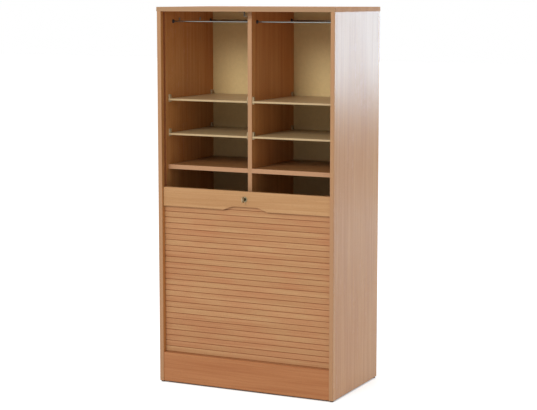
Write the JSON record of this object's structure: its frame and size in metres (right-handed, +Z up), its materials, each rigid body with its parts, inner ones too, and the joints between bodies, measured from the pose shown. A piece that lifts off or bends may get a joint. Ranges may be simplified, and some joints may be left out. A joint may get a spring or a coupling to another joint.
{
  "type": "roll front cabinet",
  "caption": "Tall beech cabinet whose slatted roll front rises from the plinth to lock under the top, with shelves and file rails.",
  "frame": {"origin": "bottom centre of the whole object's bounding box, on the floor plane under the glides, the key's bow included", "axes": "+Z up, +X to the right seen from the front, +Y to the back; the open front faces -Y"},
  "size_m": [0.8, 0.482, 1.57],
  "materials": {
    "carcass_board": "satin beech melamine with vertical grain",
    "plinth_board": "satin beech melamine with level grain",
    "slat_beech": "satin beech slats, each a little different",
    "lead_beech": "satin beech",
    "thin_shelf_board": "pale laminate",
    "rear_board": "matt olive beige board",
    "dowel_wood": "raw beech",
    "clip_plastic": "ivory moulded plastic",
    "black_plastic": "black moulded plastic",
    "track_plastic": "brown extruded plastic",
    "rail_chrome": "bright chrome plate",
    "lock_chrome": "chrome plated die casting",
    "key_steel": "nickel plated",
    "strike_steel": "zinc plated sheet",
    "screw_steel": "zinc plated",
    "cam_zinc": "die cast zinc"
  },
  "bodies": {
    "cabinet": {"top_panel": "carcass_board", "side_left": "carcass_board", "side_right": "carcass_board", "plinth": "plinth_board", "floor_panel": "carcass_board", "divider": "carcass_board", "fixed_shelf_left": "carcass_board", "fixed_shelf_right": "carcass_board", "upper_shelf_left": "thin_shelf_board", "upper_shelf_right": "thin_shelf_board", "middle_shelf_left": "thin_shelf_board", "middle_shelf_right": "thin_shelf_board", "lower_shelf_left": "thin_shelf_board", "lower_shelf_right": "thin_shelf_board", "shelf_clips": "clip_plastic", "front_rail_left": "rail_chrome", "front_rail_right": "rail_chrome", "rear_rail_left": "rail_chrome", "rear_rail_right": "rail_chrome", "rail_sockets": "black_plastic", "rear_panel": "rear_board", "rear_screws": "screw_steel", "track_left": "track_plastic", "track_right": "track_plastic", "glides": "black_plastic", "strike": "strike_steel", "strike_screws": "screw_steel", "cam_discs": "cam_zinc", "cam_bolts": "screw_steel", "dowels": "dowel_wood"},
    "curtain_base": {"base_slats": "slat_beech"},
    "lead": {"lead_board": "lead_beech", "lead_slats": "slat_beech", "lead_screws": "screw_steel", "lead_end_runners": "track_plastic", "lock_barrel": "lock_chrome", "lock_nut": "strike_steel"},
    "lock_rotor": {"lock_plug": "lock_chrome", "lock_cam": "strike_steel", "cam_screw": "screw_steel"},
    "key": {"key_bow": "key_steel", "key_blade": "key_steel"},
    "slat_group_1": {"curtain_slats_1": "slat_beech"},
    "slat_group_2": {"curtain_slats_2": "slat_beech"},
    "slat_group_3": {"curtain_slats_3": "slat_beech"},
    "slat_group_4": {"curtain_slats_4": "slat_beech"},
    "slat_group_5": {"curtain_slats_5": "slat_beech"},
    "slat_group_6": {"curtain_slats_6": "slat_beech"},
    "reserve_group_1": {"reserve_slats_1": "slat_beech"},
    "reserve_group_2": {"reserve_slats_2": "slat_beech"},
    "reserve_group_3": {"reserve_slats_3": "slat_beech"},
    "reserve_group_4": {"reserve_slats_4": "slat_beech"},
    "reserve_group_5": {"reserve_slats_5": "slat_beech"},
    "reserve_group_6": {"reserve_slats_6": "slat_beech"},
    "reserve_group_7": {"reserve_slats_7": "slat_beech"}
  },
  "joints": [
    {"name": "shutter_close", "type": "slide", "parent": "cabinet", "child": "curtain_base", "axis": [0, 0, 1], "range_m": [0, 0.7217]},
    {"name": "shutter_open", "type": "slide", "parent": "curtain_base", "child": "lead", "axis": [0, 0, 1], "range_m": [-0.6174, 0], "deforming": ["base_slats"]},
    {"name": "lock_turn", "type": "hinge", "parent": "lead", "child": "lock_rotor", "pos_m": [0, -0.216, 0.797], "axis": [0, -1, 0], "range_deg": [0, 90]},
    {"name": "key_withdraw", "type": "slide", "parent": "lock_rotor", "child": "key", "axis": [0, -1, 0], "range_m": [0, 0.026]},
    {"name": "slats_1_gather", "type": "slide", "parent": "curtain_base", "child": "slat_group_1", "axis": [0, 0, 1], "range_m": [-0.523, 0], "deforming": ["curtain_slats_1"]},
    {"name": "slats_2_gather", "type": "slide", "parent": "curtain_base", "child": "slat_group_2", "axis": [0, 0, 1], "range_m": [-0.428, 0], "deforming": ["curtain_slats_2"]},
    {"name": "slats_3_gather", "type": "slide", "parent": "curtain_base", "child": "slat_group_3", "axis": [0, 0, 1], "range_m": [-0.333, 0], "deforming": ["curtain_slats_3"]},
    {"name": "slats_4_gather", "type": "slide", "parent": "curtain_base", "child": "slat_group_4", "axis": [0, 0, 1], "range_m": [-0.238, 0], "deforming": ["curtain_slats_4"]},
    {"name": "slats_5_gather", "type": "slide", "parent": "curtain_base", "child": "slat_group_5", "axis": [0, 0, 1], "range_m": [-0.142, 0], "deforming": ["curtain_slats_5"]},
    {"name": "slats_6_gather", "type": "slide", "parent": "curtain_base", "child": "slat_group_6", "axis": [0, 0, 1], "range_m": [-0.095, 0], "deforming": ["curtain_slats_6"]},
    {"name": "reserve_1_gather", "type": "slide", "parent": "cabinet", "child": "reserve_group_1", "axis": [0, 0, 1], "range_m": [-0.675, 0], "deforming": ["reserve_slats_1"]},
    {"name": "reserve_2_gather", "type": "slide", "parent": "cabinet", "child": "reserve_group_2", "axis": [0, 0, 1], "range_m": [-0.58, 0], "deforming": ["reserve_slats_2"]},
    {"name": "reserve_3_gather", "type": "slide", "parent": "cabinet", "child": "reserve_group_3", "axis": [0, 0, 1], "range_m": [-0.484, 0], "deforming": ["reserve_slats_3"]},
    {"name": "reserve_4_gather", "type": "slide", "parent": "cabinet", "child": "reserve_group_4", "axis": [0, 0, 1], "range_m": [-0.389, 0], "deforming": ["reserve_slats_4"]},
    {"name": "reserve_5_gather", "type": "slide", "parent": "cabinet", "child": "reserve_group_5", "axis": [0, 0, 1], "range_m": [-0.294, 0], "deforming": ["reserve_slats_5"]},
    {"name": "reserve_6_gather", "type": "slide", "parent": "cabinet", "child": "reserve_group_6", "axis": [0, 0, 1], "range_m": [-0.199, 0], "deforming": ["reserve_slats_6"]},
    {"name": "reserve_7_gather", "type": "slide", "parent": "cabinet", "child": "reserve_group_7", "axis": [0, 0, 1], "range_m": [-0.104, 0], "deforming": ["reserve_slats_7"]}
  ],
  "couplings": [
    {"joint": "slats_1_gather", "follows": "shutter_open", "ratio": 0.8458},
    {"joint": "slats_2_gather", "follows": "shutter_open", "ratio": 0.69161},
    {"joint": "slats_3_gather", "follows": "shutter_open", "ratio": 0.53741},
    {"joint": "slats_4_gather", "follows": "shutter_open", "ratio": 0.38322},
    {"joint": "slats_5_gather", "follows": "shutter_open", "ratio": 0.22902},
    {"joint": "slats_6_gather", "follows": "shutter_open", "ratio": 0.15193},
    {"joint": "reserve_1_gather", "follows": "shutter_open", "ratio": 1.0915},
    {"joint": "reserve_2_gather", "follows": "shutter_open", "ratio": 0.93732},
    {"joint": "reserve_3_gather", "follows": "shutter_open", "ratio": 0.78312},
    {"joint": "reserve_4_gather", "follows": "shutter_open", "ratio": 0.62893},
    {"joint": "reserve_5_gather", "follows": "shutter_open", "ratio": 0.47473},
    {"joint": "reserve_6_gather", "follows": "shutter_open", "ratio": 0.32054},
    {"joint": "reserve_7_gather", "follows": "shutter_open", "ratio": 0.16634}
  ]
}
